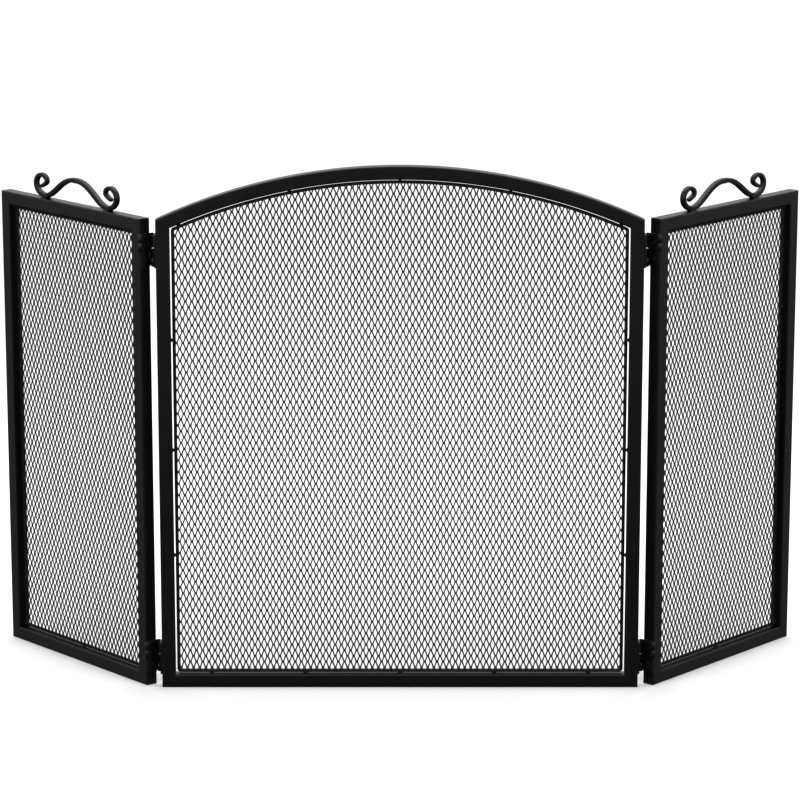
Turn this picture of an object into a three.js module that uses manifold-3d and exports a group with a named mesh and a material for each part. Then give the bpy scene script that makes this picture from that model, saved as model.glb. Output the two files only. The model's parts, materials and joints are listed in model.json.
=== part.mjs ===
// A three-panel folding fireplace screen: a wide centre panel with an arched top and two
// narrower wings, each a mitred frame of square steel tube round a sheet of expanded mesh.
// Each wing hangs on two double-acting hinges, so it folds flat to the back or to the front,
// and carries a scroll handle on its top rail.
//
// Millimetres, +Z up. The origin is the middle of the underside of the centre panel's bottom
// rail: +X runs along the centre panel and +Y to the back, towards the fire.
import * as THREE from "three";
import { mergeVertices } from "three/addons/utils/BufferGeometryUtils.js";
import Module from "manifold-3d";

// Panels
const CENTRE_WIDTH = 686;
const WING_WIDTH = 330;
const SHOULDER_HEIGHT = 684; // the wings' height, and the centre panel's at its two sides
const ARCH_RISE = 76;
const REST_FOLD = 48; // degrees that each wing stands folded back from the centre panel's line

// Square tube
const TUBE = 19;
const TUBE_WALL = 1;
const TUBE_CORNER = 2;
const TUBE_CORNER_STEPS = 2;
const ARCH_STEPS = 20;
const MITRE_GAP = 0.3;

// Mesh sheets and the wire frames that they are welded to
const WIRE = 4.8;
const WIRE_SIDES = 8;
const WIRE_GAP = 2.2; // from the wire to the tubes at its sides and top
const WIRE_DROP = 1.4; // how much closer it stands to the bottom rail
const WIRE_BEND = 3;
const SHEET = 0.3;
const SHEET_EDGE = 4; // from the sheet's edge to the tubes at its sides and top
const FIT_GAP = 0.3; // between pieces that rest on each other
const TAB = { length: 8, depth: 2.5 };
const SIDE_TAB_HEIGHTS = [195, 350, 510];
const BOTTOM_TAB_PITCH = 136;
const ARCH_TAB_PITCH = 156;
const OUTLINE_STEP = 45; // along the arch, for the wire and the sheet

// Hinges. They stand in the gap between a wing and the centre panel.
const HINGE_GAP = 7.5;
const HINGE_HEIGHT = 48;
const HINGE_BOTTOMS = { bottom: 19, top: 615 };
const LEAF = { thick: 2, freeEdge: 8.5, barrelEdge: 9.3, corner: 3 };
const PIN_BEHIND = 3; // from the tube's face to the pin's axis
const PIN_ASIDE = 1.5; // from the middle of the gap to the pin's axis
const BARREL_RADIUS = 3.2;
const BARREL_SIDES = 16;
const PIN_RADIUS = 1.5;
const PIN_SIDES = 12;
const PIN_CLEARANCE = 0.2;
const PIN_HEAD = { radius: 2.4, flat: 1.7, height: 0.8 };
const KNUCKLE_GAP = 0.3;
const ARM_LAP = 1; // how far a knuckle's arm runs into its plate
const LINK = { thick: 2, edge: 8.8, strip: 4.5 }; // edges measured from the tubes' middle plane
const LINK_EAR = { reach: 15, above: 2.5 }; // its back edge, over the rear pin's head
const ACCESS_HOLE_RADIUS = 4.5;
const SCREW_HEIGHTS = [12, 36];
const SCREW = { head: 3.3, shank: 1.75, sink: 1.6, length: 12, point: 3, sides: 12 };
const SCREW_CLEARANCE = 0.25;

// Scroll handles
const HANDLE_CENTRE = 158; // from the wing's inner end
const BAR = { thick: 6.8, deep: 8.6, corner: 1.7 };
const HANDLE_RISE = 34.3; // from the rail to the middle of the bar at the handle's middle
const HANDLE_FOOT = 74.4; // from the handle's middle to each point where it meets the rail
const CURL = { near: 70, far: 95.6, top: 33.2 }; // the bar's middle line, measured likewise
const HANDLE_LEVEL = 3; // how far from its middle the bar stays level, at the weld
const HANDLE_CURVE_STEPS = 6;

const centreHalf = CENTRE_WIDTH / 2;
const archRadius = (centreHalf ** 2 + ARCH_RISE ** 2) / (2 * ARCH_RISE);
const archCentre = SHOULDER_HEIGHT + ARCH_RISE - archRadius;
const face = TUBE / 2;
const gapMiddle = centreHalf + HINGE_GAP / 2;

const paints = {
  tube: new THREE.MeshStandardMaterial({ color: 0x1b1b1c, roughness: 0.55, metalness: 0.1 }),
  mesh: new THREE.MeshStandardMaterial({ color: 0x202021, roughness: 0.6, metalness: 0.1 }),
  handle: new THREE.MeshStandardMaterial({ color: 0x19191a, roughness: 0.45, metalness: 0.1 }),
  hinge: new THREE.MeshStandardMaterial({ color: 0x161617, roughness: 0.4, metalness: 0.3 }),
  screw: new THREE.MeshStandardMaterial({ color: 0x2a2a2c, roughness: 0.35, metalness: 0.7 }),
};

const wasm = await Module();
wasm.setup();

function solid(geometry) {
  const bare = geometry.index ? geometry.toNonIndexed() : geometry.clone();
  bare.deleteAttribute("normal");
  bare.deleteAttribute("uv");
  const merged = mergeVertices(bare, 1e-3);
  return new wasm.Manifold(
    new wasm.Mesh({
      numProp: 3,
      vertProperties: new Float32Array(merged.attributes.position.array),
      triVerts: new Uint32Array(merged.index.array),
    }),
  );
}

function geometryOf(manifold) {
  const mesh = manifold.getMesh();
  const geometry = new THREE.BufferGeometry();
  geometry.setAttribute("position", new THREE.BufferAttribute(mesh.vertProperties, 3));
  geometry.setIndex(new THREE.BufferAttribute(mesh.triVerts, 1));
  const faceted = geometry.toNonIndexed();
  faceted.computeVertexNormals();
  return faceted;
}

function cut(geometry, ...tools) {
  return geometryOf(tools.reduce((made, tool) => made.subtract(solid(tool)), solid(geometry)));
}

function join(geometry, ...others) {
  return geometryOf(others.reduce((made, other) => made.add(solid(other)), solid(geometry)));
}

function shapeOf(points) {
  return new THREE.Shape(points.map(([a, b]) => new THREE.Vector2(a, b)));
}

// A rectangle with round corners, centred on the origin.
function roundRectangle(width, height, corner, Outline = THREE.Shape) {
  const [x, y] = [width / 2 - corner, height / 2 - corner];
  const outline = new Outline();
  outline.absarc(x, y, corner, 0, Math.PI / 2);
  outline.absarc(-x, y, corner, Math.PI / 2, Math.PI);
  outline.absarc(-x, -y, corner, Math.PI, 1.5 * Math.PI);
  outline.absarc(x, -y, corner, 1.5 * Math.PI, 2 * Math.PI);
  outline.closePath();
  return outline;
}

// A plan outline (x, y) raised from one height to another.
function raise(shape, low, high) {
  const made = new THREE.ExtrudeGeometry(shape, {
    depth: high - low,
    bevelEnabled: false,
  });
  return made.translate(0, 0, low);
}

// A front outline (x, z) given its depth, from one y to another.
function deepen(shape, near, far) {
  const made = new THREE.ExtrudeGeometry(shape, {
    depth: far - near,
    bevelEnabled: false,
  });
  return made.rotateX(Math.PI / 2).translate(0, far, 0);
}

// A side outline (y, z) given its thickness, from one x to another.
function thicken(shape, x0, x1) {
  const made = new THREE.ExtrudeGeometry(shape, {
    depth: Math.abs(x1 - x0),
    bevelEnabled: false,
    curveSegments: 5,
  });
  const turn = new THREE.Matrix4().makeBasis(
    new THREE.Vector3(0, 1, 0),
    new THREE.Vector3(0, 0, 1),
    new THREE.Vector3(1, 0, 0),
  );
  return made.applyMatrix4(turn).translate(Math.min(x0, x1), 0, 0);
}

// A path through points in the plane of a panel, with one step from each point to the next.
class PointPath extends THREE.Curve {
  constructor(points, closed) {
    super();
    this.points = points.map((p) => new THREE.Vector3(p.x, 0, p.y));
    this.closed = closed;
    this.steps = closed ? points.length : points.length - 1;
  }
  point(i) {
    const count = this.points.length;
    return this.points[this.closed ? (i + count) % count : THREE.MathUtils.clamp(i, 0, count - 1)];
  }
  getPoint(t, target = new THREE.Vector3()) {
    const i = Math.min(Math.floor(t * this.steps + 1e-6), this.steps);
    return target.copy(this.point(i)).lerp(this.point(i + 1), Math.max(t * this.steps - i, 0));
  }
  getPointAt(u, target) {
    return this.getPoint(u, target);
  }
  getTangentAt(u, target = new THREE.Vector3()) {
    const i = Math.round(u * this.steps);
    const before = this.point(i).clone().sub(this.point(i - 1)).normalize();
    const after = this.point(i + 1).clone().sub(this.point(i)).normalize();
    return target.copy(before).add(after).normalize();
  }
  // The path lies in one plane, so a section swept along it never twists.
  computeFrenetFrames(segments) {
    const tangents = [];
    for (let i = 0; i <= segments; i++) tangents.push(this.getTangentAt(i / segments));
    const normals = tangents.map(() => new THREE.Vector3(0, 1, 0));
    const binormals = tangents.map((t, i) => new THREE.Vector3().crossVectors(t, normals[i]));
    return { tangents, normals, binormals };
  }
}

function piece(parent, name, geometry, paint) {
  const mesh = new THREE.Mesh(geometry, paint);
  mesh.name = name;
  parent.add(mesh);
  return mesh;
}

// ---- Frames of square tube ----------------------------------------------------------------

function tubeSection() {
  const bore = TUBE - 2 * TUBE_WALL;
  const section = roundRectangle(TUBE, TUBE, TUBE_CORNER);
  section.holes.push(roundRectangle(bore, bore, TUBE_CORNER - TUBE_WALL, THREE.Path));
  return section;
}

function straightTube(length) {
  return new THREE.ExtrudeGeometry(tubeSection(), {
    depth: length,
    bevelEnabled: false,
    curveSegments: TUBE_CORNER_STEPS,
  });
}

function archedTube() {
  const radius = archRadius - face;
  const reach = Math.asin((centreHalf + TUBE) / archRadius);
  const points = [];
  for (let i = 0; i <= ARCH_STEPS; i++) {
    const angle = reach * ((2 * i) / ARCH_STEPS - 1);
    const x = radius * Math.sin(angle);
    points.push(new THREE.Vector2(x, archCentre + radius * Math.cos(angle)));
  }
  return new THREE.ExtrudeGeometry(tubeSection(), {
    steps: ARCH_STEPS,
    curveSegments: TUBE_CORNER_STEPS,
    extrudePath: new PointPath(points, false),
  });
}

// A block over everything on the far side of a mitre, which runs from the frame's outer
// corner to its inner corner. The kept tube lies on the side of the point given.
function mitreBlock(outer, inner, kept) {
  const size = 160; // over anything that lies beyond a mitre
  const along = inner.clone().sub(outer).normalize();
  const away = new THREE.Vector2(-along.y, along.x);
  if (away.dot(kept.clone().sub(outer)) > 0) away.negate();
  const middle = outer.clone().addScaledVector(away, size / 2 - MITRE_GAP / 2);
  const block = new THREE.BoxGeometry(size, size, size);
  return block.rotateY(-Math.atan2(away.y, away.x)).translate(middle.x, 0, middle.y);
}

function mitred(geometry, corners, kept) {
  return cut(geometry, ...corners.map(([outer, inner]) => mitreBlock(outer, inner, kept)));
}

// The four tubes of a panel whose middle stands at x. `top` is the arch or a straight rail.
function frame(parent, names, x, width, arched) {
  const half = width / 2;
  const innerTop = arched
    ? archCentre + Math.sqrt((archRadius - TUBE) ** 2 - (half - TUBE) ** 2)
    : SHOULDER_HEIGHT - TUBE;
  const corner = (side, outerZ, innerZ) => [
    new THREE.Vector2(side * half, outerZ),
    new THREE.Vector2(side * (half - TUBE), innerZ),
  ];
  const feet = [-1, 1].map((side) => corner(side, 0, TUBE));
  const shoulders = [-1, 1].map((side) => corner(side, SHOULDER_HEIGHT, innerTop));
  const [leftName, rightName] = names.stiles;
  [leftName, rightName].forEach((name, i) => {
    const side = i ? 1 : -1;
    const centreX = side * (half - face);
    const tube = straightTube(SHOULDER_HEIGHT).translate(centreX, 0, 0);
    const kept = new THREE.Vector2(centreX, SHOULDER_HEIGHT / 2);
    let stile = mitred(tube, [feet[i], shoulders[i]], kept);
    if (names.hinged.includes(name)) stile = cut(stile, ...screwHoles(side * half));
    piece(parent, name, stile.translate(x, 0, 0), paints.tube);
  });
  const lying = straightTube(width)
    .rotateY(Math.PI / 2)
    .translate(-half, 0, face);
  const bottom = mitred(lying, feet, new THREE.Vector2(0, face));
  piece(parent, names.bottom, bottom.translate(x, 0, 0), paints.tube);
  const over = arched
    ? archedTube()
    : straightTube(width)
        .rotateY(Math.PI / 2)
        .translate(-half, 0, SHOULDER_HEIGHT - face);
  const top = mitred(over, shoulders, new THREE.Vector2(0, SHOULDER_HEIGHT));
  piece(parent, names.top, top.translate(x, 0, 0), paints.tube);
}

// Holes for the hinge screws through the wall of a stile whose outer side is at x = wall.
function screwHoles(wall) {
  const radius = SCREW.shank + SCREW_CLEARANCE;
  const holes = [];
  for (const bottom of Object.values(HINGE_BOTTOMS)) {
    for (const height of SCREW_HEIGHTS) {
      const hole = new THREE.CylinderGeometry(radius, radius, 4 * TUBE_WALL, SCREW.sides);
      holes.push(hole.rotateZ(Math.PI / 2).translate(wall, 0, bottom + height));
    }
  }
  return holes;
}

// ---- Wire frames and mesh sheets ----------------------------------------------------------

// The outline of a panel's opening, drawn in by `inset` from the tubes at its sides and top.
function openingOutline(width, arched, inset, bend) {
  const x = width / 2 - TUBE - inset;
  const foot = TUBE + inset - WIRE_DROP;
  const outline = new THREE.Shape();
  outline.moveTo(-x + bend, foot);
  outline.lineTo(x - bend, foot);
  outline.absarc(x - bend, foot + bend, bend, -Math.PI / 2, 0);
  if (arched) {
    const radius = archRadius - TUBE - inset;
    const lean = Math.asin((x - bend) / (radius - bend));
    const bendZ = archCentre + (radius - bend) * Math.cos(lean);
    outline.lineTo(x, bendZ);
    outline.absarc(x - bend, bendZ, bend, 0, Math.PI / 2 - lean);
    outline.absarc(0, archCentre, radius, Math.PI / 2 - lean, Math.PI / 2 + lean);
    outline.absarc(-x + bend, bendZ, bend, Math.PI / 2 + lean, Math.PI);
  } else {
    const head = SHOULDER_HEIGHT - TUBE - inset - bend;
    outline.lineTo(x, head);
    outline.absarc(x - bend, head, bend, 0, Math.PI / 2);
    outline.absarc(-x + bend, head, bend, Math.PI / 2, Math.PI);
  }
  outline.lineTo(-x, foot + bend);
  outline.absarc(-x + bend, foot + bend, bend, Math.PI, 1.5 * Math.PI);
  return outline;
}

// The outline's corners, with each stretch of arc in steps about as long as asked.
function outlinePoints(outline, step) {
  const points = [];
  for (const curve of outline.curves) {
    const divisions = curve.isLineCurve ? 1 : Math.max(3, Math.round(curve.getLength() / step));
    for (const point of curve.getPoints(divisions)) {
      if (!points.length || point.distanceTo(points.at(-1)) > 0.01) points.push(point);
    }
  }
  if (points[0].distanceTo(points.at(-1)) < 0.01) points.pop();
  return points;
}

// A tab between the wire frame and the tube, at a point on the tube's inner side.
function tab(x, z, tilt, gap = WIRE_GAP) {
  const height = gap + WIRE / 2 - FIT_GAP;
  const block = new THREE.BoxGeometry(TAB.length, TAB.depth, height);
  block.translate(0, 0, -FIT_GAP - height / 2);
  return block.rotateY(tilt).translate(x, wireY, z);
}

const wireY = SHEET / 2 + FIT_GAP + WIRE / 2;

function wireFrame(width, arched) {
  const inset = WIRE_GAP + WIRE / 2;
  const points = outlinePoints(openingOutline(width, arched, inset, WIRE_BEND), OUTLINE_STEP);
  const path = new PointPath(points, true);
  const wire = new THREE.TubeGeometry(path, path.steps, WIRE / 2, WIRE_SIDES, true);
  const half = width / 2 - TUBE;
  const tabs = [];
  for (const side of [-1, 1]) {
    for (const height of SIDE_TAB_HEIGHTS) tabs.push(tab(side * half, height, (side * Math.PI) / 2));
  }
  const across = arched ? [-2, -1, 0, 1, 2] : [0];
  const footGap = WIRE_GAP - WIRE_DROP;
  for (const i of across) tabs.push(tab(i * BOTTOM_TAB_PITCH, TUBE, Math.PI, footGap));
  if (arched) {
    const radius = archRadius - TUBE;
    for (const i of across) {
      const lean = Math.asin((i * ARCH_TAB_PITCH) / radius);
      tabs.push(tab(radius * Math.sin(lean), archCentre + radius * Math.cos(lean), lean));
    }
  } else {
    tabs.push(tab(0, SHOULDER_HEIGHT - TUBE, 0));
  }
  return join(wire.translate(0, wireY, 0), ...tabs);
}

function meshSheet(width, arched) {
  const points = outlinePoints(openingOutline(width, arched, SHEET_EDGE, WIRE_BEND), OUTLINE_STEP);
  return deepen(new THREE.Shape(points), -SHEET / 2, SHEET / 2);
}

// ---- Double-acting hinges -----------------------------------------------------------------
// Their plans are drawn from the middle of the gap: w runs towards the wing and y to the back.
// A leaf is screwed to each stile, the link stands between them, the front pin joins the link
// to the wing's leaf in the upper half and the rear pin joins it to the centre's leaf in the
// lower half.

const leafFace = HINGE_GAP / 2 - FIT_GAP;
const pinY = face + PIN_BEHIND;
const halfHeight = HINGE_HEIGHT / 2;
// Heights of the knuckles: the leaf's knuckle is next to the middle of the front barrel and at
// the foot of the rear barrel, and the link's knuckle stands above it in both.
const knuckles = {
  front: {
    leaf: [halfHeight + KNUCKLE_GAP, 1.5 * halfHeight],
    link: [1.5 * halfHeight + KNUCKLE_GAP, HINGE_HEIGHT],
  },
  rear: {
    leaf: [0, halfHeight / 2],
    link: [halfHeight / 2 + KNUCKLE_GAP, halfHeight],
  },
};

// One barrel's knuckle: a ring round the pin, with the arm that joins it to a plate.
function knuckle(w, y, arm, [low, high]) {
  const ring = new THREE.CylinderGeometry(BARREL_RADIUS, BARREL_RADIUS, high - low, BARREL_SIDES);
  ring.rotateX(Math.PI / 2).translate(w, y, (low + high) / 2);
  return join(ring, raise(shapeOf(arm), low, high));
}

function pinBore(w, y) {
  const radius = PIN_RADIUS + PIN_CLEARANCE;
  const bore = new THREE.CylinderGeometry(radius, radius, 2 * HINGE_HEIGHT, PIN_SIDES);
  return bore.rotateX(Math.PI / 2).translate(w, y, halfHeight);
}

// The side outline of a leaf: square at the barrel's edge and round at its free corners.
function leafOutline(barrelEdge, freeEdge) {
  const turn = Math.sign(freeEdge - barrelEdge);
  const outline = new THREE.Shape();
  outline.moveTo(barrelEdge, 0);
  outline.lineTo(freeEdge - turn * LEAF.corner, 0);
  outline.quadraticCurveTo(freeEdge, 0, freeEdge, LEAF.corner);
  outline.lineTo(freeEdge, HINGE_HEIGHT - LEAF.corner);
  outline.quadraticCurveTo(freeEdge, HINGE_HEIGHT, freeEdge - turn * LEAF.corner, HINGE_HEIGHT);
  outline.lineTo(barrelEdge, HINGE_HEIGHT);
  return outline;
}

// A screw laid along X with its point towards `way` and its head flush with `seat`, grown all
// round by `clearance` where it stands for the screw's hole.
function screwBody(way, seat, z, clearance = 0) {
  const shank = SCREW.shank + clearance;
  const profile = [
    [0, -SCREW.length],
    [shank, -SCREW.length + SCREW.point],
    [shank, -SCREW.sink],
    [SCREW.head + clearance, clearance],
    [0, clearance],
  ].map(([r, h]) => new THREE.Vector2(r, h));
  const body = new THREE.LatheGeometry(profile, SCREW.sides);
  return body.rotateZ((way * Math.PI) / 2).translate(seat, 0, z);
}

// A leaf and its knuckle. `towards` is +1 on the wing's stile and -1 on the centre's, and
// `side` is -1 for the left wing's hinges, whose wing lies towards -X, and +1 for the right's.
function hingeLeaf(side, towards) {
  const back = -towards; // the side of the gap where this leaf's pin stands
  const pinW = -towards * PIN_ASIDE;
  const x = (w) => side * w;
  const plate = thicken(
    leafOutline(back * LEAF.barrelEdge, -back * LEAF.freeEdge),
    x(towards * leafFace),
    x(towards * (leafFace - LEAF.thick)),
  );
  const arm = [
    [leafFace, LEAF.barrelEdge - ARM_LAP],
    [leafFace, LEAF.barrelEdge],
    [-PIN_ASIDE, pinY + BARREL_RADIUS],
    [-PIN_ASIDE, pinY],
    [leafFace - LEAF.thick, LEAF.barrelEdge - ARM_LAP],
  ].map(([w, y]) => [x(towards * w), back * y]);
  const heights = towards > 0 ? knuckles.front.leaf : knuckles.rear.leaf;
  const body = join(plate, knuckle(x(pinW), back * pinY, arm, heights));
  const sunk = SCREW_HEIGHTS.map((z) =>
    screwBody(side * towards, x(towards * (leafFace - LEAF.thick)), z, SCREW_CLEARANCE),
  );
  return cut(body, pinBore(x(pinW), back * pinY), ...sunk);
}

// The link: a plate over the upper half with the front knuckle, and a strip down the back
// edge of the lower half with the rear knuckle. Above that knuckle the plate has an ear that
// closes the gap to the centre's leaf.
function hingeLink(side) {
  const x = (w) => side * w;
  const half = LINK.thick / 2;
  const outline = shapeOf([
    [-LINK.edge, halfHeight + KNUCKLE_GAP],
    [LINK.strip, halfHeight + KNUCKLE_GAP],
    [LINK.strip, knuckles.rear.link[0]],
    [LINK.edge, knuckles.rear.link[0]],
    [LINK.edge, halfHeight + LINK_EAR.above],
    [LINK_EAR.reach, halfHeight + LINK_EAR.above],
    [LINK_EAR.reach, HINGE_HEIGHT - LEAF.corner],
    [LINK_EAR.reach - LEAF.corner, HINGE_HEIGHT],
    [-LINK.edge, HINGE_HEIGHT],
  ]);
  const access = new THREE.Path();
  access.absarc(0, SCREW_HEIGHTS[1], ACCESS_HOLE_RADIUS, 0, 2 * Math.PI, true);
  outline.holes.push(access);
  const plate = thicken(outline, x(-half), x(half));
  const arm = (sign) =>
    [
      [half, LINK.edge - ARM_LAP],
      [-half, LINK.edge - ARM_LAP],
      [PIN_ASIDE - BARREL_RADIUS, pinY],
      [PIN_ASIDE, pinY],
    ].map(([w, y]) => [x(sign * w), sign * y]);
  const front = knuckle(x(-PIN_ASIDE), -pinY, arm(-1), knuckles.front.link);
  const rear = knuckle(x(PIN_ASIDE), pinY, arm(1), knuckles.rear.link);
  const body = join(plate, front, rear);
  return cut(body, pinBore(x(-PIN_ASIDE), -pinY), pinBore(x(PIN_ASIDE), pinY));
}

// A riveted pin that stands from `low` to `high`, with a head over each end of its barrel.
function pinBody(low, high) {
  const under = low - FIT_GAP;
  const over = high + FIT_GAP;
  const profile = [
    [0, under - PIN_HEAD.height],
    [PIN_HEAD.flat, under - PIN_HEAD.height],
    [PIN_HEAD.radius, under],
    [PIN_RADIUS, under],
    [PIN_RADIUS, over],
    [PIN_HEAD.radius, over],
    [PIN_HEAD.flat, over + PIN_HEAD.height],
    [0, over + PIN_HEAD.height],
  ].map(([r, h]) => new THREE.Vector2(r, h));
  return new THREE.LatheGeometry(profile, PIN_SIDES).rotateX(Math.PI / 2);
}

// ---- Scroll handles -----------------------------------------------------------------------

// The middle line of half a handle, from the top of its arch down to its foot on the rail and
// round its curl to the tip. `height` is measured from the rail.
function scrollPoints() {
  const low = BAR.thick / 2 + FIT_GAP;
  const { near, far, top } = CURL;
  const line = new THREE.Path();
  line.moveTo(MITRE_GAP / 2, HANDLE_RISE);
  line.lineTo(HANDLE_LEVEL, HANDLE_RISE);
  line.bezierCurveTo(35, HANDLE_RISE, HANDLE_FOOT - 22.7, low, HANDLE_FOOT, low);
  line.bezierCurveTo(HANDLE_FOOT + 11.4, low, far, 11, far, 20.4);
  line.bezierCurveTo(far, 27, far - 6.7, top, 82.2, top);
  line.bezierCurveTo(near + 5.4, top, near, 30, near, 25.4);
  line.bezierCurveTo(near, 21.7, near + 5.4, 19.8, 82.7, 16.5);
  return line.getPoints(HANDLE_CURVE_STEPS);
}

function scroll(way) {
  const points = scrollPoints().map((p) => new THREE.Vector2(way * p.x, SHOULDER_HEIGHT + p.y));
  return new THREE.ExtrudeGeometry(roundRectangle(BAR.deep, BAR.thick, BAR.corner), {
    steps: points.length - 1,
    curveSegments: 1,
    extrudePath: new PointPath(points, false),
  });
}

// ---- The screen ---------------------------------------------------------------------------

const screen = new THREE.Group();

frame(
  screen,
  {
    stiles: ["centre_left_stile", "centre_right_stile"],
    hinged: ["centre_left_stile", "centre_right_stile"],
    bottom: "centre_bottom_rail",
    top: "centre_arch_rail",
  },
  0,
  CENTRE_WIDTH,
  true,
);
piece(screen, "centre_mesh_wire", wireFrame(CENTRE_WIDTH, true), paints.mesh);
piece(screen, "centre_mesh_sheet", meshSheet(CENTRE_WIDTH, true), paints.mesh);

for (const side of [-1, 1]) {
  const hand = side < 0 ? "left" : "right";
  const wing = `${hand}_wing`;
  // The wing and its links are drawn in line with the centre panel, and turn about the rear pins.
  const fold = new THREE.Group();
  fold.position.set(side * (gapMiddle + PIN_ASIDE), pinY, 0);
  fold.rotation.z = THREE.MathUtils.degToRad(side * REST_FOLD);
  const flat = new THREE.Group();
  flat.position.copy(fold.position).negate();
  fold.add(flat);
  screen.add(fold);

  const innerEnd = centreHalf + HINGE_GAP;
  const middle = side * (innerEnd + WING_WIDTH / 2);
  const stiles = [`${wing}_outer_stile`, `${wing}_inner_stile`];
  if (side > 0) stiles.reverse();
  frame(
    flat,
    {
      stiles,
      hinged: [`${wing}_inner_stile`],
      bottom: `${wing}_bottom_rail`,
      top: `${wing}_top_rail`,
    },
    middle,
    WING_WIDTH,
    false,
  );
  piece(flat, `${wing}_mesh_wire`, wireFrame(WING_WIDTH, false), paints.mesh).position.x = middle;
  piece(flat, `${wing}_mesh_sheet`, meshSheet(WING_WIDTH, false), paints.mesh).position.x = middle;
  for (const [half, way] of [["inner", -side], ["outer", side]]) {
    const bar = piece(flat, `${hand}_handle_${half}_scroll`, scroll(way), paints.handle);
    bar.position.x = side * (innerEnd + HANDLE_CENTRE);
  }

  for (const [level, bottom] of Object.entries(HINGE_BOTTOMS)) {
    const hinge = `${hand}_${level}_hinge`;
    const place = (parent, name, geometry, paint) =>
      piece(parent, `${hinge}_${name}`, geometry, paint).position.set(side * gapMiddle, 0, bottom);
    place(screen, "centre_leaf", hingeLeaf(side, -1), paints.hinge);
    place(flat, "link", hingeLink(side), paints.hinge);
    place(flat, "wing_leaf", hingeLeaf(side, 1), paints.hinge);
    const rear = pinBody(knuckles.rear.leaf[0], knuckles.rear.link[1]);
    const front = pinBody(knuckles.front.leaf[0], knuckles.front.link[1]);
    place(screen, "rear_pin", rear.translate(side * PIN_ASIDE, pinY, 0), paints.hinge);
    place(flat, "front_pin", front.translate(-side * PIN_ASIDE, -pinY, 0), paints.hinge);
    SCREW_HEIGHTS.forEach((height, i) => {
      const seat = leafFace - LEAF.thick;
      const order = i ? "upper" : "lower";
      const inward = screwBody(-side, -side * seat, height);
      const outward = screwBody(side, side * seat, height);
      place(screen, `centre_${order}_screw`, inward, paints.screw);
      place(flat, `wing_${order}_screw`, outward, paints.screw);
    });
  }
}

export default screen;
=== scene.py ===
"""The looks of a three-panel folding fireplace screen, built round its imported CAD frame.

Metres, in the CAD model's frame: +X along the centre panel, +Y to the back, +Z up, with the
origin at the middle of the underside of the centre panel's bottom rail.
"""

import json
import math

import bpy
import numpy as np
from mathutils import Matrix, Vector


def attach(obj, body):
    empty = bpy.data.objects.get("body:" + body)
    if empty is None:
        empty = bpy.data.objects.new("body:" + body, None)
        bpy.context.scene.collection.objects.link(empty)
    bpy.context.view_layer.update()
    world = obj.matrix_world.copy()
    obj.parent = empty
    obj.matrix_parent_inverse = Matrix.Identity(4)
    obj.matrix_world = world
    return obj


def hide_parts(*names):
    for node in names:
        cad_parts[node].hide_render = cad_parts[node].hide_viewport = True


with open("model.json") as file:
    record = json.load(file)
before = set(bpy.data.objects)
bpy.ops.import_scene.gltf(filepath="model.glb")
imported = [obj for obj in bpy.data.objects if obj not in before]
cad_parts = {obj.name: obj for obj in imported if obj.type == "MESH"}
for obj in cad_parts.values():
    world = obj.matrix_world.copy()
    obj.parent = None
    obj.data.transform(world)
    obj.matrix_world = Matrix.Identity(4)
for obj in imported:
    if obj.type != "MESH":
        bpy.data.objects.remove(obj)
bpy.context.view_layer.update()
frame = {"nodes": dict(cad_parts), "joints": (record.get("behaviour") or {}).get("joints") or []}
joints = {joint["name"]: joint for joint in frame["joints"]}

# ---- Driving dimensions: the CAD model's, and those of the finer shapes --------------------

CENTRE_WIDTH = 0.686
WING_WIDTH = 0.330
SHOULDER_HEIGHT = 0.684
ARCH_RISE = 0.076
HINGE_GAP = 0.0075
HANDLE_CENTRE = 0.158  # from the wing's inner end

TUBE = 0.019
TUBE_CORNER = 0.002
SEAM = 0.0001  # width and depth of the groove along a mitre

WIRE = 0.0048
WIRE_GAP = 0.0022  # from the wire to the tubes at its sides and top
WIRE_DROP = 0.0014  # how much closer it stands to the bottom rail
WIRE_DEPTH = 0.00285  # from the sheet's middle plane back to the wire's middle line
WIRE_BEND = 0.003  # radius of its middle line, and of the sheet's corners
WIRE_SIDES = 16
BEND_STEPS = 6
SHOULDER_BEND_STEPS = 5
SHEET_EDGE = 0.004  # from the sheet's edge to the tubes at its sides and top
SIDE_TAB_HEIGHTS = (0.195, 0.350, 0.510)
BOTTOM_TAB_PITCH = 0.136
ARCH_TAB_PITCH = 0.156
TAB_WIDTH = 0.0036
TAB_DEPTH = 0.0026
TAB_CORNER = 0.0011
TAB_WELD = (0.0034, 0.0022, 0.0034)  # a bead's half sizes
TAB_WELD_FLAT = 0.35  # share of its size that the bead keeps square to the tube
TAB_WELD_LIFT = 0.0004  # from the tube to the bead's middle

# Expanded metal: upright diamonds, with each strand a tilted ribbon that zigzags between the
# bonds on its two sides.
DIAMOND_WIDTH = 0.0089
DIAMOND_HEIGHT = 0.0171
STRAND_WIDTH = 0.002
STRAND_THICK = 0.00085
STRAND_TILT = math.radians(-4)
BOND_LENGTH = 0.0019
BOND_LAP = 0.485  # of a strand's width: under half, so that a bond's strands run into each other
SHORTEST_CUT = 0.02  # share of a straight stretch under which what the outline cuts is left out

BAR_THICK = 0.0068
BAR_DEEP = 0.0086
BAR_CORNER = 0.0017
BAR_TIP = 0.74  # share of its thickness that a scroll's bar keeps at its tip
BAR_TIP_DEEP = 0.78  # share of its depth
TAPER_START = 0.45  # share of the bar's length
TAPER_CURVE = 1.3
BAR_END_SWELLS = (1.07, 1.05)  # of the first two sections, beside the weld
TIP_STEPS = ((0.0008, 0.93), (0.0014, 0.75), (0.0017, 0.45))  # past the end, share of the size
BAR_LIFT = 0.0003  # from the wing's top rail to the bar's foot
HANDLE_RISE = 0.0343
HANDLE_FOOT = 0.0744
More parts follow.
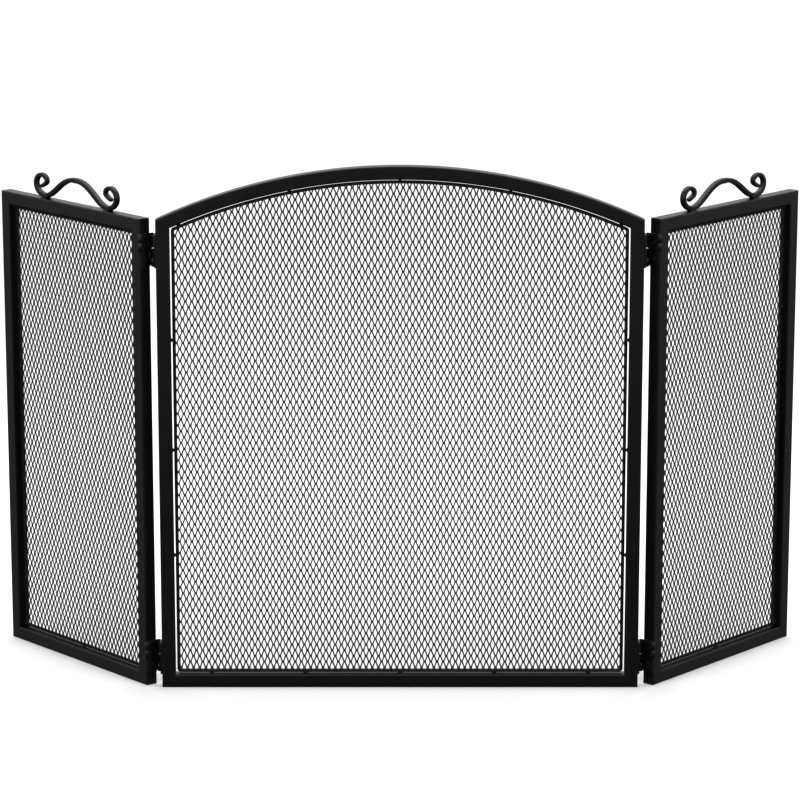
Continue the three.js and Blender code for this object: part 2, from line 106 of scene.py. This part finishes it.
# The curl's middle line, out from the handle's middle and up from the wing's top.
CURL_NEAR, CURL_FAR, CURL_TOP = 0.070, 0.0956, 0.0332
CURVE_STEPS = 12
FOOT_WELD = (0.0068, 0.0018, 0.0019)
FOOT_WELD_ASIDE = 0.0038
TOP_WELD = (0.0021, 0.0035, 0.0007)

HINGE_EDGE = 0.0003  # width of the leaves' and links' broken edges
PIN_EDGE = 0.00015  # width of the pins' and screws'
HINGE_EDGE_ANGLE = math.radians(32)

arch_radius = ((CENTRE_WIDTH / 2) ** 2 + ARCH_RISE**2) / (2 * ARCH_RISE)
arch_centre = SHOULDER_HEIGHT + ARCH_RISE - arch_radius


class Panel:
    """A panel, which is a body of its own name. Its own frame has x along it, from its middle,
    y to its back and z up."""

    def __init__(self, name, width, matrix, arched=False):
        self.name = name
        self.width = width
        self.matrix = matrix
        self.arched = arched


def wing_panel(hand, side):
    rear = joints[f"{hand}_rear_fold"]
    rest_fold = math.radians(-min(rear["range_deg"]))
    pin = Matrix.Translation(rear["pos_m"])
    middle = side * (CENTRE_WIDTH / 2 + HINGE_GAP + WING_WIDTH / 2)
    turn = pin @ Matrix.Rotation(side * rest_fold, 4, "Z") @ pin.inverted()
    return Panel(f"{hand}_wing", WING_WIDTH, turn @ Matrix.Translation((middle, 0, 0)))


centre = Panel("centre", CENTRE_WIDTH, Matrix.Identity(4), arched=True)
wings = {"left": wing_panel("left", -1), "right": wing_panel("right", 1)}
panels = [centre, *wings.values()]

# What each panel calls its stiles, from its left to its right.
stile_words = {
    "centre": ("left", "right"),
    "left_wing": ("outer", "inner"),
    "right_wing": ("inner", "outer"),
}


# ---- Mesh building ------------------------------------------------------------------------


def arc(middle, radius, start, end, steps):
    angles = np.radians(np.linspace(start, end, steps + 1))
    return np.array(middle) + radius * np.stack([np.cos(angles), np.sin(angles)], 1)


def round_rectangle(width, height, corner, steps=5):
    """A section as points (across the path in its plane, depth)."""
    x, y = width / 2 - corner, height / 2 - corner
    return np.concatenate(
        [
            arc((x, y), corner, 0, 90, steps),
            arc((-x, y), corner, 90, 180, steps),
            arc((-x, -y), corner, 180, 270, steps),
            arc((x, -y), corner, 270, 360, steps),
        ]
    )


def ring_faces(rings, sides, closed=False):
    """The quads that join rings of vertices in turn, and a cap on each open end."""
    faces = []
    for i in range(rings if closed else rings - 1):
        here, there = i * sides, (i + 1) % rings * sides
        for k in range(sides):
            following = (k + 1) % sides
            faces.append((here + k, here + following, there + following, there + k))
    if not closed:
        faces.append(tuple(range(sides))[::-1])
        faces.append(tuple(range((rings - 1) * sides, rings * sides)))
    return faces


def outward(points, faces):
    """The faces turned so that a closed shape's normals point out."""
    middle = points.mean(0)
    volume = 0.0
    for face in faces:
        corners = points[list(face)] - middle
        for i in range(1, len(face) - 1):
            volume += np.dot(corners[0], np.cross(corners[i], corners[i + 1]))
    return faces if volume > 0 else [face[::-1] for face in faces]


def path_normals(path, closed):
    """At each point of a path (x, z), the unit direction across it in its plane."""
    if closed:
        before = path - np.roll(path, 1, 0)
        after = np.roll(path, -1, 0) - path
    else:
        steps = np.diff(path, axis=0)
        before = np.concatenate([steps[:1], steps])
        after = np.concatenate([steps, steps[-1:]])
    before = before / np.linalg.norm(before, axis=1, keepdims=True)
    after = after / np.linalg.norm(after, axis=1, keepdims=True)
    along = before + after
    along /= np.linalg.norm(along, axis=1, keepdims=True)
    return np.stack([-along[:, 1], along[:, 0]], 1)


def sweep(path, section, closed=False, scales=None):
    """A section carried along a path (x, z) in a panel's plane. `scales` gives each ring its
    own size, as (across, depth)."""
    normals = path_normals(path, closed)
    if scales is None:
        scales = np.ones((len(path), 2))
    rings = []
    for point, normal, (across, deep) in zip(path, normals, scales):
        offsets = section[:, :1] * across * normal
        flat = point + offsets
        rings.append(np.stack([flat[:, 0], section[:, 1] * deep, flat[:, 1]], 1))
    points = np.concatenate(rings)
    faces = ring_faces(len(path), len(section), closed)
    return points, outward(points, faces)


def joined(*parts):
    """Several (points, faces) as one."""
    points, faces, start = [], [], 0
    for part_points, part_faces in parts:
        points.append(part_points)
        faces += [tuple(start + i for i in face) for face in part_faces]
        start += len(part_points)
    return np.concatenate(points), faces


def moved(part, offset):
    points, faces = part
    return points + np.array(offset), faces


def lump(middle, radii, seed):
    """A weld's uneven rounded lump."""
    rough, rings, sides = 0.12, 8, 14
    rng = np.random.default_rng(seed)
    points = []
    for i in range(1, rings):
        tilt = math.pi * i / rings
        swell = 1 + rough * rng.standard_normal(sides) * math.sin(tilt)
        turn = 2 * math.pi * np.arange(sides) / sides
        ring = [np.cos(turn) * math.sin(tilt), np.sin(turn) * math.sin(tilt)]
        height = np.full(sides, math.cos(tilt))
        points.append(np.stack([*ring, height], 1) * swell[:, None])
    points = np.concatenate(points) * np.array(radii) + np.array(middle)
    return points, outward(points, ring_faces(rings - 1, sides))


def make_piece(name, part, panel, material, replaced, smooth_angle=35):
    """A mesh object drawn in a panel's frame, put in its place and tied to the panel's body.
    Edges sharper than `smooth_angle` stay sharp."""
    points, faces = part
    mesh = bpy.data.meshes.new(name)
    mesh.from_pydata(points.tolist(), [], faces)
    mesh.transform(panel.matrix)
    mesh.polygons.foreach_set("use_smooth", [True] * len(mesh.polygons))
    mesh.set_sharp_from_angle(angle=math.radians(smooth_angle))
    mesh.materials.append(material)
    made = bpy.data.objects.new(name, mesh)
    bpy.context.scene.collection.objects.link(made)
    # Wide faces keep their own normals, so that they look flat up to their round edges.
    made.modifiers.new("flat_faces", "WEIGHTED_NORMAL").keep_sharp = True
    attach(made, panel.name)
    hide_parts(replaced)


# ---- Materials ----------------------------------------------------------------------------

CLOUD_SCALE = 38  # of the paint's slow change of tone, per metre
CLOUD_SPAN = (0.32, 0.7)  # values of the noise between which the tone changes
SPECK_SPAN = (0.3, 0.7)
SPECK_SHARE = 0.45  # of the fine specks in the bump, beside the broader peel
PEEL_SHARE = 0.35  # the peel's scale, as a share of the specks'
BUMP_STRENGTH = 0.6


def node_material(name):
    material = bpy.data.materials.new(name)
    material.use_nodes = True
    nodes = material.node_tree.nodes
    return material, nodes, material.node_tree.links, nodes["Principled BSDF"]


def noise(nodes, links, place, scale, detail, roughness=0.5):
    made = nodes.new("ShaderNodeTexNoise")
    made.inputs["Scale"].default_value = scale
    made.inputs["Detail"].default_value = detail
    made.inputs["Roughness"].default_value = roughness
    links.new(place.outputs["Object"], made.inputs["Vector"])
    return made


def ramp(nodes, links, source, stops):
    """A colour ramp from two stops, each a position and a colour."""
    made = nodes.new("ShaderNodeValToRGB")
    for element, (position, colour) in zip(made.color_ramp.elements, stops):
        element.position = position
        element.color = (*colour, 1)
    links.new(source, made.inputs["Fac"])
    return made


def map_range(nodes, links, source, span, levels):
    """The source's values, with `span` carried to `levels`."""
    made = nodes.new("ShaderNodeMapRange")
    made.inputs["From Min"].default_value, made.inputs["From Max"].default_value = span
    made.inputs["To Min"].default_value, made.inputs["To Max"].default_value = levels
    links.new(source, made.inputs["Value"])
    return made


def coat(name, dark, light, gloss, grain, grain_depth, specular):
    """Black paint on metal. `dark` and `light` are the ends of its colour's slow change,
    `gloss` the ends of its roughness, and `grain` the size of its texture."""
    material, nodes, links, shader = node_material(name)
    place = nodes.new("ShaderNodeTexCoord")
    clouds = noise(nodes, links, place, CLOUD_SCALE, detail=3)
    stops = [(CLOUD_SPAN[0], dark), (CLOUD_SPAN[1], light)]
    tint = ramp(nodes, links, clouds.outputs["Fac"], stops)
    links.new(tint.outputs["Color"], shader.inputs["Base Color"])
    speck = noise(nodes, links, place, 1 / grain, detail=2.5, roughness=0.6)
    shine = map_range(nodes, links, speck.outputs["Fac"], SPECK_SPAN, gloss)
    links.new(shine.outputs["Result"], shader.inputs["Roughness"])
    peel = noise(nodes, links, place, PEEL_SHARE / grain, detail=1)
    heights = nodes.new("ShaderNodeMath")
    heights.operation = "MULTIPLY_ADD"
    heights.inputs[1].default_value = SPECK_SHARE
    links.new(speck.outputs["Fac"], heights.inputs[0])
    links.new(peel.outputs["Fac"], heights.inputs[2])
    bump = nodes.new("ShaderNodeBump")
    bump.inputs["Strength"].default_value = BUMP_STRENGTH
    bump.inputs["Distance"].default_value = grain_depth
    links.new(heights.outputs["Value"], bump.inputs["Height"])
    links.new(bump.outputs["Normal"], shader.inputs["Normal"])
    shader.inputs["Specular IOR Level"].default_value = specular
    return material


frame_coat = coat(
    "frame_powder_coat",
    dark=(0.0016, 0.0016, 0.0017),
    light=(0.0032, 0.0032, 0.0034),
    gloss=(0.3, 0.42),
    grain=0.0007,
    grain_depth=0.00005,
    specular=0.42,
)
mesh_coat = coat(
    "mesh_paint",
    dark=(0.003, 0.003, 0.0032),
    light=(0.006, 0.006, 0.0062),
    gloss=(0.4, 0.55),
    grain=0.0006,
    grain_depth=0.00004,
    specular=0.5,
)
handle_coat = coat(
    "handle_paint",
    dark=(0.0022, 0.0022, 0.0024),
    light=(0.0045, 0.0045, 0.0048),
    gloss=(0.3, 0.44),
    grain=0.0012,
    grain_depth=0.00009,
    specular=0.36,
)
hinge_lacquer = coat(
    "hinge_lacquer",
    dark=(0.0018, 0.0018, 0.002),
    light=(0.0034, 0.0034, 0.0036),
    gloss=(0.3, 0.42),
    grain=0.0009,
    grain_depth=0.000012,
    specular=0.5,
)
screw_black = coat(
    "screw_black_steel",
    dark=(0.006, 0.006, 0.0066),
    light=(0.014, 0.014, 0.015),
    gloss=(0.24, 0.4),
    grain=0.0005,
    grain_depth=0.00003,
    specular=0.5,
)


# ---- Frames of square tube ----------------------------------------------------------------

tube_section = round_rectangle(TUBE, TUBE, TUBE_CORNER)


# A tube's last two sections, as (distance in from the mitre, share of the size): the groove
# along the seam.
end_rings = [(0.0, 1 - 2 * SEAM / TUBE), (SEAM, 1.0)]


def straight_tube(start, end, start_mitre, end_mitre):
    """A tube from start to end (x, z). A mitre is how far the tube's end runs back for each
    metre towards its left side."""
    start, end = np.array(start), np.array(end)
    along = (end - start) / np.linalg.norm(end - start)
    across = np.array([-along[1], along[0]])
    rings = []
    for origin, mitre, way in ((start, start_mitre, 1), (end, end_mitre, -1)):
        made = []
        for inset, share in end_rings:
            section = tube_section * share
            runs = way * inset + section[:, 0] * mitre
            flat = origin + section[:, :1] * across + runs[:, None] * along
            made.append(np.stack([flat[:, 0], section[:, 1], flat[:, 1]], 1))
        rings += made if way > 0 else made[::-1]
    points = np.concatenate(rings)
    return points, outward(points, ring_faces(len(rings), len(tube_section)))


def arched_tube(lean_of, steps=64):
    """The arch. `lean_of` gives the angle at which a circle of a radius meets the mitre."""
    middle_radius = arch_radius - TUBE / 2
    places = [-1, *np.linspace(-1, 1, steps + 1), 1]
    rings = []
    for i, share in enumerate(places):
        first_or_last = i in (0, len(places) - 1)
        inset, size = end_rings[0 if first_or_last else 1]
        section = tube_section * size
        radii = middle_radius + section[:, 0]
        leans = share * (lean_of(radii) - inset / middle_radius)
        x = radii * np.sin(leans)
        z = arch_centre + radii * np.cos(leans)
        rings.append(np.stack([x, section[:, 1], z], 1))
    points = np.concatenate(rings)
    return points, outward(points, ring_faces(len(rings), len(tube_section)))


def build_frame(panel):
    half = panel.width / 2
    low, high = TUBE / 2, SHOULDER_HEIGHT - TUBE / 2
    inner_top = SHOULDER_HEIGHT - TUBE
    if panel.arched:
        inner_top = arch_centre + math.sqrt((arch_radius - TUBE) ** 2 - (half - TUBE) ** 2)
    # The mitre at a shoulder runs from the outer corner to the inner corner.
    slope = (inner_top - SHOULDER_HEIGHT) / TUBE
    shoulder_middle = (SHOULDER_HEIGHT + inner_top) / 2
    for side, word in zip((-1, 1), stile_words[panel.name]):
        name = f"{panel.name}_{word}_stile"
        x = side * (half - TUBE / 2)
        stile = straight_tube((x, low), (x, shoulder_middle), side, side * slope)
        make_piece(f"{name}_tube", stile, panel, frame_coat, name)
    bottom = straight_tube((-half + low, low), (half - low, low), 1, -1)
    name = f"{panel.name}_bottom_rail"
    make_piece(f"{name}_tube", bottom, panel, frame_coat, name)
    if panel.arched:

        def lean_of(radii):
            # Where x = half - s * TUBE and z = SHOULDER_HEIGHT + s * slope * TUBE.
            rise = SHOULDER_HEIGHT - arch_centre
            a = TUBE**2 * (1 + slope**2)
            b = 2 * TUBE * (slope * rise - half)
            c = half**2 + rise**2 - radii**2
            share = (-b - np.sqrt(b * b - 4 * a * c)) / (2 * a)
            return np.arctan2(half - share * TUBE, rise + share * slope * TUBE)

        top = arched_tube(lean_of)
        name = f"{panel.name}_arch_rail"
    else:
        top = straight_tube((-half + low, high), (half - low, high), -1, 1)
        name = f"{panel.name}_top_rail"
    make_piece(f"{name}_tube", top, panel, frame_coat, name)


# ---- Wire frames and expanded metal -------------------------------------------------------


def opening_outline(panel, inset, arch_steps=60):
    """The outline (x, z) of a panel's opening, drawn in by `inset`, anticlockwise."""
    bend = WIRE_BEND
    x = panel.width / 2 - TUBE - inset
    foot = TUBE + inset - WIRE_DROP
    near, low = x - bend, foot + bend
    stretches = [arc((near, low), bend, -90, 0, BEND_STEPS)]
    if panel.arched:
        radius = arch_radius - TUBE - inset
        lean = math.asin(near / (radius - bend))
        turn = math.degrees(lean)
        shoulder = arch_centre + (radius - bend) * math.cos(lean)
        steps = SHOULDER_BEND_STEPS
        stretches.append(arc((near, shoulder), bend, 0, 90 - turn, steps))
        stretches.append(arc((0, arch_centre), radius, 90 - turn, 90 + turn, arch_steps)[1:-1])
        stretches.append(arc((-near, shoulder), bend, 90 + turn, 180, steps))
    else:
        high = SHOULDER_HEIGHT - TUBE - inset - bend
        stretches.append(arc((near, high), bend, 0, 90, BEND_STEPS))
        stretches.append(arc((-near, high), bend, 90, 180, BEND_STEPS))
    stretches.append(arc((-near, low), bend, 180, 270, BEND_STEPS))
    return np.concatenate(stretches)


def tab_part(x, z, tilt, seed, gap=WIRE_GAP):
    """A short welded tab from the wire to the tube, at (x, z) on the tube's inner side.
    `tilt` turns its outward direction from straight up."""
    out = np.array([math.sin(tilt), math.cos(tilt)])
    reach = gap + WIRE / 2
    inner = np.array([x, z]) - out * reach
    path = np.array([inner + out * reach * share for share in (0, 0.3, 0.65, 1.0)])
    # The bar is pinched between its spread ends.
    spread = np.array([[1.5, 1.2], [1.15, 1.05], [1.1, 1.0], [1.5, 1.35]])
    bar = sweep(path, round_rectangle(TAB_WIDTH, TAB_DEPTH, TAB_CORNER, 3), scales=spread)
    bar = moved(bar, (0, WIRE_DEPTH, 0))
    foot = np.array([x, z]) - out * TAB_WELD_LIFT
    weld_middle = np.array([foot[0], WIRE_DEPTH, foot[1]])
    weld_points, weld_faces = lump(weld_middle, TAB_WELD, seed)
    along_x, along_z = abs(out)
    squeeze = [along_x * TAB_WELD_FLAT + along_z, 1, along_z * TAB_WELD_FLAT + along_x]
    weld_points = (weld_points - weld_middle) * np.array(squeeze) + weld_middle
    return [bar, (weld_points, weld_faces)]


MIDDLE_BOTTOM_TAB_SEED = 20


def build_wire(panel):
    path = opening_outline(panel, WIRE_GAP + WIRE / 2)
    circle = arc((0, 0), WIRE / 2, 0, 360, WIRE_SIDES)[:-1]
    rod = moved(sweep(path, circle, closed=True), (0, WIRE_DEPTH, 0))
    half = panel.width / 2 - TUBE
    places = []
    for side in (-1, 1):
        places += [(side * half, z, side * math.pi / 2) for z in SIDE_TAB_HEIGHTS]
    across = (-2, -1, 0, 1, 2) if panel.arched else (0,)
    if panel.arched:
        radius = arch_radius - TUBE
        for i in across:
            lean = math.asin(i * ARCH_TAB_PITCH / radius)
            places.append((radius * math.sin(lean), arch_centre + radius * math.cos(lean), lean))
    else:
        places.append((0, SHOULDER_HEIGHT - TUBE, 0))
    parts = [rod]
    for seed, place in enumerate(places):
        parts += tab_part(*place, seed)
    for i in across:
        place = (i * BOTTOM_TAB_PITCH, TUBE, math.pi)
        parts += tab_part(*place, MIDDLE_BOTTOM_TAB_SEED + i, gap=WIRE_GAP - WIRE_DROP)
    name = f"{panel.name}_mesh_wire"
    make_piece(f"{name}_rod", joined(*parts), panel, mesh_coat, name)


def strand_points(panel):
    """The zigzag middle lines of a panel's strands, as an array (strand, point, xyz)."""
    column = DIAMOND_WIDTH / 2
    reach_x = panel.width / 2
    columns = np.arange(-math.ceil(reach_x / column) - 1, math.ceil(reach_x / column) + 1)
    top = SHOULDER_HEIGHT + (ARCH_RISE if panel.arched else 0)
    half_turns = np.arange(-1, math.ceil(top / DIAMOND_HEIGHT) * 2 + 2)
    bond_z = half_turns * DIAMOND_HEIGHT / 2 + TUBE
    lap = BOND_LAP * STRAND_WIDTH
    mirror = -1 if panel is wings["right"] else 1
    strands = []
    for k in columns:
        on_right = (half_turns + k) % 2 == 1
        x = np.where(on_right, (k + 1) * column - lap * math.cos(STRAND_TILT), 0.0)
        x = np.where(on_right, x, k * column + lap * math.cos(STRAND_TILT))
        y = np.where(on_right, -1.0, 1.0) * lap * math.sin(STRAND_TILT)
        x, y = np.repeat(x, 2), np.repeat(y, 2)
        z = np.repeat(bond_z, 2)
        z[0::2] -= BOND_LENGTH / 2
        z[1::2] += BOND_LENGTH / 2
        strands.append(np.stack([mirror * x, y, z], 1))
    return np.array(strands)


def clip_shares(starts, ends, outline):
    """For each line from start to end (x, z), the shares of it where it is inside a convex
    outline, as (entry, exit). An exit that isn't after the entry means outside."""
    edges = np.roll(outline, -1, 0) - outline
    inward = np.stack([-edges[:, 1], edges[:, 0]], 1)
    inward /= np.linalg.norm(inward, axis=1, keepdims=True)
    level = (inward * outline).sum(1)
    start_in = starts @ inward.T - level
    end_in = ends @ inward.T - level
    change = end_in - start_in
    with np.errstate(divide="ignore", invalid="ignore"):
        crossing = -start_in / change
    entry = np.where(change > 0, crossing, 0.0)
    entry = np.where((change <= 0) & (start_in < 0) & (end_in < 0), 2.0, entry).max(1)
    leave = np.where(change < 0, crossing, 1.0).min(1)
    return np.clip(entry, 0, None), np.clip(leave, None, 1)


def build_sheet(panel):
    """The strands as bars of four sides, clipped to the sheet's outline."""
    outline = opening_outline(panel, SHEET_EDGE)
    strands = strand_points(panel)
    starts = strands[:, :-1].reshape(-1, 3)
    ends = strands[:, 1:].reshape(-1, 3)
    entry, leave = clip_shares(starts[:, [0, 2]], ends[:, [0, 2]], outline)
    kept = leave - entry > SHORTEST_CUT
    starts, ends, entry, leave = starts[kept], ends[kept], entry[kept], leave[kept]
    run = ends - starts
    near = starts + run * entry[:, None]
    far = starts + run * leave[:, None]
    tilt = -STRAND_TILT if panel is wings["right"] else STRAND_TILT
    wide = np.array([math.cos(tilt), math.sin(tilt), 0]) * STRAND_WIDTH / 2
    thick = np.array([-math.sin(tilt), math.cos(tilt), 0]) * STRAND_THICK / 2
    corners = np.array([wide + thick, thick - wide, -wide - thick, wide - thick])
    rings = np.stack([near, far], 1)[:, :, None, :] + corners
    points = rings.reshape(-1, 3)
    first = np.arange(len(near))[:, None] * 8
    quads = []
    for k in range(4):
        following = (k + 1) % 4
        quads.append(first + np.array([k, following, 4 + following, 4 + k]))
    quads.append(first[entry > 0] + np.array([3, 2, 1, 0]))
    quads.append(first[leave < 1] + np.array([4, 5, 6, 7]))
    quads = np.concatenate(quads)
    points, index = np.unique(np.round(points, 7), axis=0, return_inverse=True)
    faces = index.reshape(-1)[quads].tolist()
    name = f"{panel.name}_mesh_sheet"
    part = (points, faces)
    make_piece(f"{name}_expanded", part, panel, mesh_coat, name, smooth_angle=20)


# ---- Scroll handles -----------------------------------------------------------------------


def bezier(p0, p1, p2, p3, steps):
    t = np.linspace(0, 1, steps + 1)[1:, None]
    p0, p1, p2, p3 = map(np.array, (p0, p1, p2, p3))
    return (1 - t) ** 3 * p0 + 3 * (1 - t) ** 2 * t * p1 + 3 * (1 - t) * t**2 * p2 + t**3 * p3


def scroll_path():
    """Half a handle's middle line, from the weld at its top to its foot and round its curl, as
    points (out from the handle's middle, up from the wing's top)."""
    low = BAR_THICK / 2 + BAR_LIFT
    high, top, near, far = HANDLE_RISE, CURL_TOP, CURL_NEAR, CURL_FAR
    foot = (HANDLE_FOOT, low)
    start = (0.003, high)
    outermost = (far, 0.0204)
    summit = (0.0822, top)
    innermost = (near, 0.0254)
    tip = (0.0827, 0.0165)
    curves = [
        [start, (0.035, high), (HANDLE_FOOT - 0.0227, low), foot],
        [foot, (HANDLE_FOOT + 0.0114, low), (far, 0.011), outermost],
        [outermost, (far, 0.027), (far - 0.0067, top), summit],
        [summit, (near + 0.0054, top), (near, 0.030), innermost],
        [innermost, (near, 0.0217), (near + 0.0054, 0.0198), tip],
    ]
    beside_weld = np.array([(0.00015, high), (0.0012, high), start])
    return np.concatenate([beside_weld] + [bezier(*corners, CURVE_STEPS) for corners in curves])


def scroll_part(way):
    path = scroll_path()
    length = np.concatenate([[0], np.cumsum(np.linalg.norm(np.diff(path, axis=0), axis=1))])
    tapered = length - TAPER_START * length[-1]
    taper = np.clip(tapered / ((1 - TAPER_START) * length[-1]), 0, 1) ** TAPER_CURVE
    across = 1 - (1 - BAR_TIP) * taper
    deep = 1 - (1 - BAR_TIP_DEEP) * taper
    across[:2] = BAR_END_SWELLS
    scales = np.stack([across, deep], 1)
    # A blunt rounded tip.
    onward = path[-1] - path[-2]
    onward /= np.linalg.norm(onward)
    tip_points = [path[-1] + onward * step for step, share in TIP_STEPS]
    tip_scales = [scales[-1] * share for step, share in TIP_STEPS]
    path = np.concatenate([path, tip_points])
    scales = np.concatenate([scales, tip_scales])
    path[:, 0] *= way
    path[:, 1] += SHOULDER_HEIGHT
    return sweep(path, round_rectangle(BAR_THICK, BAR_DEEP, BAR_CORNER, 4), scales=scales)


def build_handle(hand, side):
    panel = wings[hand]
    middle = side * (HANDLE_CENTRE - WING_WIDTH / 2)
    for half, way in (("inner", -side), ("outer", side)):
        foot_x = way * HANDLE_FOOT
        parts = [scroll_part(way)]
        # A bead along each side of the foot.
        for seed, y in enumerate((-FOOT_WELD_ASIDE, FOOT_WELD_ASIDE)):
            parts.append(lump((foot_x, y, SHOULDER_HEIGHT), FOOT_WELD, seed))
        if way == side:
            # The bead that joins the two halves, under the handle's top.
            under = SHOULDER_HEIGHT + HANDLE_RISE - BAR_THICK / 2
            parts.append(lump((0, 0, under), TOP_WELD, seed=7))
        name = f"{hand}_handle_{half}_scroll"
        part = moved(joined(*parts), (middle, 0, 0))
        make_piece(f"{name}_bar", part, panel, handle_coat, name, smooth_angle=50)


# ---- Hinges: the CAD nodes with their edges broken ----------------------------------------


def soften(node, width):
    weld = node.modifiers.new("weld", "WELD")
    weld.merge_threshold = 1e-6
    bevel = node.modifiers.new("broken_edges", "BEVEL")
    bevel.width = width
    bevel.segments = 2
    bevel.limit_method = "ANGLE"
    bevel.angle_limit = HINGE_EDGE_ANGLE
    bevel.use_clamp_overlap = True
    bevel.harden_normals = True
    node.data.polygons.foreach_set("use_smooth", [True] * len(node.data.polygons))


def paint(node, material):
    if node.material_slots:
        node.material_slots[0].material = material
    else:
        node.data.materials.append(material)


def dress_hinges():
    for name, node in frame["nodes"].items():
        if "hinge" not in name:
            continue
        is_screw = name.endswith("screw")
        paint(node, screw_black if is_screw else hinge_lacquer)
        soften(node, PIN_EDGE if is_screw or name.endswith("pin") else HINGE_EDGE)


# ---- Stage, light and camera --------------------------------------------------------------

FLOOR_SIZE = 60  # from the middle to each side
FLOOR_DARK = (0.93, 0.93, 0.93)
FLOOR_LIGHT = (0.95, 0.95, 0.95)

STUDIO_WHITE = 1.08
STUDIO_FRONT = 0.02
STUDIO_SIDE = 0.4
SIDE_SPAN = (0.6, 1.0)  # parts along X of the directions between which front turns to side
HORIZON_SPAN = (-0.1, -0.03)  # heights of the directions between which dark turns to white

CAMERA_DISTANCE = 4.765  # to the centre panel's front face, along Y
CAMERA_HEIGHT = 1.526
CAMERA_DOWN = math.radians(13.0)
CAMERA_LENS = 155.4
CAMERA_SENSOR = 36
CAMERA_REACH = 200  # past the floor's far edge
DISPLAY_GAMMA = 0.86


def build_stage():
    material, nodes, links, shader = node_material("pale_floor")
    place = nodes.new("ShaderNodeTexCoord")
    mottle = noise(nodes, links, place, 0.8, detail=2)
    stops = [(0.3, FLOOR_DARK), (0.7, FLOOR_LIGHT)]
    tint = ramp(nodes, links, mottle.outputs["Fac"], stops)
    links.new(tint.outputs["Color"], shader.inputs["Base Color"])
    shader.inputs["Roughness"].default_value = 0.9
    shader.inputs["Specular IOR Level"].default_value = 0.0
    mesh = bpy.data.meshes.new("floor")
    size = FLOOR_SIZE
    corners = [(-size, -size, 0), (size, -size, 0), (size, size, 0), (-size, size, 0)]
    mesh.from_pydata(corners, [], [(0, 1, 2, 3)])
    mesh.materials.append(material)
    floor = bpy.data.objects.new("floor", mesh)
    bpy.context.scene.collection.objects.link(floor)
    floor.visible_glossy = False


def add_area_light(name, place, target, size, power):
    light = bpy.data.lights.new(name, "AREA")
    light.shape = "RECTANGLE"
    light.size, light.size_y = size
    light.energy = power
    made = bpy.data.objects.new(name, light)
    bpy.context.scene.collection.objects.link(made)
    made.location = place
    aim = Vector(target) - Vector(place)
    made.rotation_euler = aim.to_track_quat("-Z", "Y").to_euler()


def build_world():
    """White above the horizon. Below it, where only reflections look past the floor, the
    studio is dark in front and behind, and grey at the sides."""
    world = bpy.data.worlds.new("studio")
    bpy.context.scene.world = world
    world.use_nodes = True
    nodes, links = world.node_tree.nodes, world.node_tree.links
    place = nodes.new("ShaderNodeTexCoord")
    split = nodes.new("ShaderNodeSeparateXYZ")
    links.new(place.outputs["Generated"], split.inputs["Vector"])
    aside = nodes.new("ShaderNodeMath")
    aside.operation = "ABSOLUTE"
    links.new(split.outputs["X"], aside.inputs[0])
    levels = (STUDIO_FRONT, STUDIO_SIDE)
    below = map_range(nodes, links, aside.outputs["Value"], SIDE_SPAN, levels)
    levels = (STUDIO_FRONT, STUDIO_WHITE)
    level = map_range(nodes, links, split.outputs["Z"], HORIZON_SPAN, levels)
    level.interpolation_type = "SMOOTHSTEP"
    links.new(below.outputs["Result"], level.inputs["To Min"])
    background = nodes["Background"]
    background.inputs["Color"].default_value = (1, 1, 1, 1)
    links.new(level.outputs["Result"], background.inputs["Strength"])


def build_light():
    build_world()
    for name, x in (("left_softbox", -2.6), ("right_softbox", 2.6)):
        place = (x, -2.2, 1.6)
        add_area_light(name, place, target=(0, 0, 0.35), size=(1.6, 2.0), power=30)
    place = (0, 1.2, 3.0)
    add_area_light("top_softbox", place, target=(0, 0, 0.4), size=(3.0, 1.6), power=40)


def build_camera():
    camera = bpy.data.cameras.new("camera")
    camera.sensor_width = CAMERA_SENSOR
    camera.lens = CAMERA_LENS
    camera.clip_end = CAMERA_REACH
    made = bpy.data.objects.new("camera", camera)
    bpy.context.scene.collection.objects.link(made)
    made.location = (0, -TUBE / 2 - CAMERA_DISTANCE, CAMERA_HEIGHT)
    made.rotation_euler = (math.pi / 2 - CAMERA_DOWN, 0, 0)
    bpy.context.scene.camera = made


for panel in panels:
    build_frame(panel)
    build_wire(panel)
    build_sheet(panel)
build_handle("left", -1)
build_handle("right", 1)
dress_hinges()
build_stage()
build_light()
build_camera()
bpy.context.scene.view_settings.view_transform = "Standard"
bpy.context.scene.view_settings.gamma = DISPLAY_GAMMA
